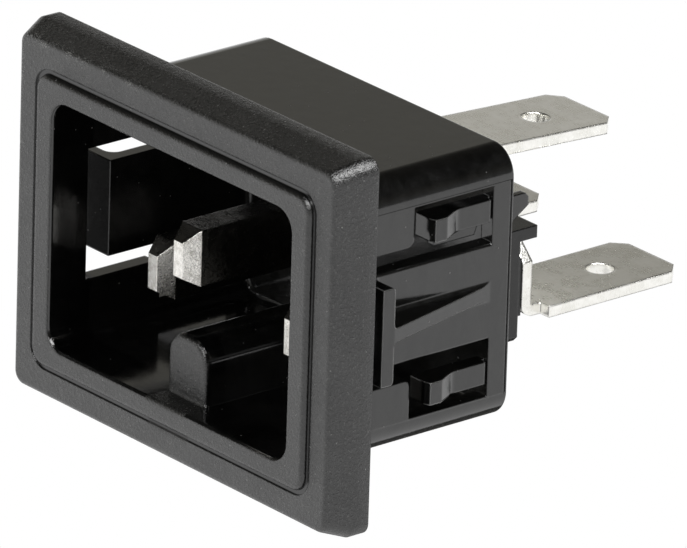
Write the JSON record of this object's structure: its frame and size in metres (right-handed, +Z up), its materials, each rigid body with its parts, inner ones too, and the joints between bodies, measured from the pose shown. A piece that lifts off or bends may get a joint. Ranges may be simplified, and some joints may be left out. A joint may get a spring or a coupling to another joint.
{
  "type": "snap-in appliance inlet",
  "caption": "Black snap-in appliance inlet with a flange, rectangular plug cavity, key rib, flat blades, side latches and rear quick-connect tabs.",
  "frame": {"origin": "on the axis of the plug cavity, in the plane where the flange's rear face seats on the panel", "axes": "+X to the right seen from the front, +Y into the panel along the plugging direction, +Z up"},
  "size_m": [0.0334, 0.0356, 0.0258],
  "materials": {
    "black_polyamide": "fine spark-eroded flange, smoother body",
    "black_carrier": "satin moulded",
    "nickel_blade": "nickel plated, bright coined tips",
    "tinned_tab": "satin tinned sheet"
  },
  "bodies": {
    "root": {"housing": "black_polyamide", "terminal_carrier": "black_carrier", "earth_blade": "nickel_blade", "line_blade": "nickel_blade", "neutral_blade": "nickel_blade", "earth_terminal": "tinned_tab", "line_terminal": "tinned_tab", "neutral_terminal": "tinned_tab"}
  },
  "joints": []
}
